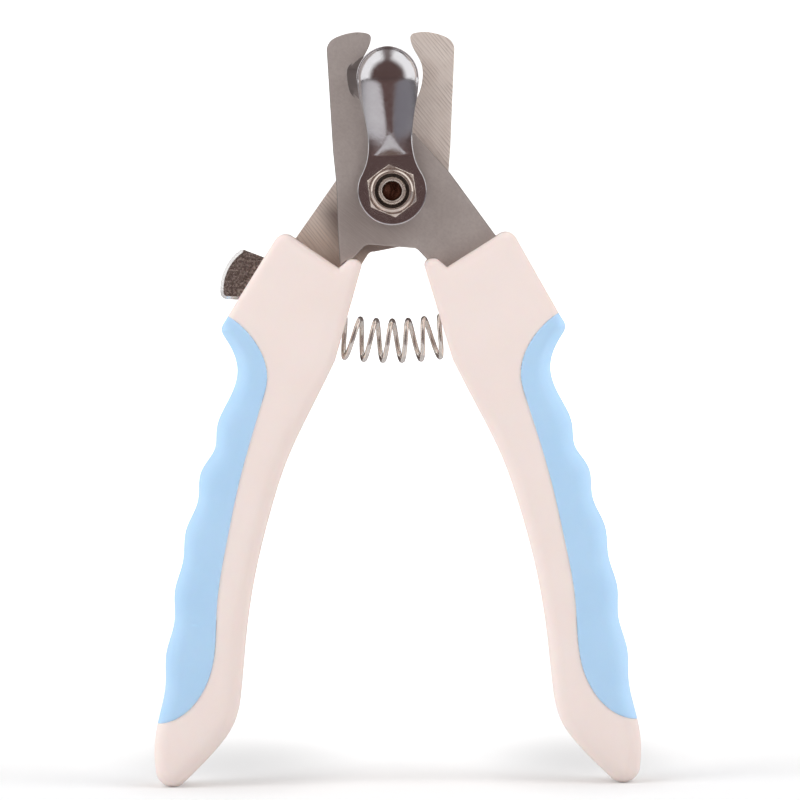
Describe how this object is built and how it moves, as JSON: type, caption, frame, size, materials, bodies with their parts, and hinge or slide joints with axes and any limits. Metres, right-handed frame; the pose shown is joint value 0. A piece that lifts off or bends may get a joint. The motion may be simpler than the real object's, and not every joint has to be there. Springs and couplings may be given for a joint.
{
  "type": "pet nail clipper",
  "caption": "Plier-type pet nail clipper with crossing notched blades, swinging nail guard, return spring, thumb lock and soft-grip handles.",
  "frame": {"origin": "centre of the bounding box at its base, under the two handle tips", "axes": "+X to the right seen from the nut side, +Y from the nut side to the bolt-head side, +Z from the handle tips to the jaws"},
  "size_m": [0.0844, 0.0146, 0.1303],
  "materials": {
    "blade_steel": "satin, ground",
    "guard_chrome": "polished",
    "nut_chrome": "bright plated",
    "bolt_steel": "bright plated",
    "plain_steel": "plain",
    "locking_nylon": "moulded",
    "spring_wire": "bright drawn wire",
    "lever_steel": "knurled",
    "handle_plastic": "fine matt",
    "grip_rubber": "soft matt"
  },
  "bodies": {
    "left_half": {"rear_blade": "blade_steel", "pivot_bolt": "bolt_steel", "pivot_nut": "nut_chrome", "nut_locking_ring": "locking_nylon", "head_washer": "plain_steel", "guard_washer": "plain_steel", "left_front_shell": "handle_plastic", "left_rear_shell": "handle_plastic", "left_grip": "grip_rubber", "left_tang_pins": "plain_steel", "lock_pivot_pin": "plain_steel", "lock_friction_washer": "plain_steel", "return_spring": "spring_wire"},
    "right_half": {"front_blade": "blade_steel", "right_front_shell": "handle_plastic", "right_rear_shell": "handle_plastic", "right_grip": "grip_rubber", "right_tang_pins": "plain_steel"},
    "guard_plate": {"guard": "guard_chrome"},
    "lock": {"lock_lever": "lever_steel"}
  },
  "joints": [
    {"name": "handle_pivot", "type": "hinge", "parent": "left_half", "child": "right_half", "pos_m": [0, 0.0013, 0.1029], "axis": [0, 1, 0], "range_deg": [0, 33], "stiffness_Nm_per_rad": 0.34, "springref_deg": -6.76, "deforming": ["return_spring"]},
    {"name": "guard_swing", "type": "hinge", "parent": "left_half", "child": "guard_plate", "pos_m": [0, 0.0013, 0.1029], "axis": [0, 1, 0], "range_deg": [-80, 80]},
    {"name": "thumb_lock", "type": "hinge", "parent": "left_half", "child": "lock", "pos_m": [-0.0205, 0.0013, 0.0884], "axis": [0, -1, 0], "range_deg": [0, 40]}
  ]
}
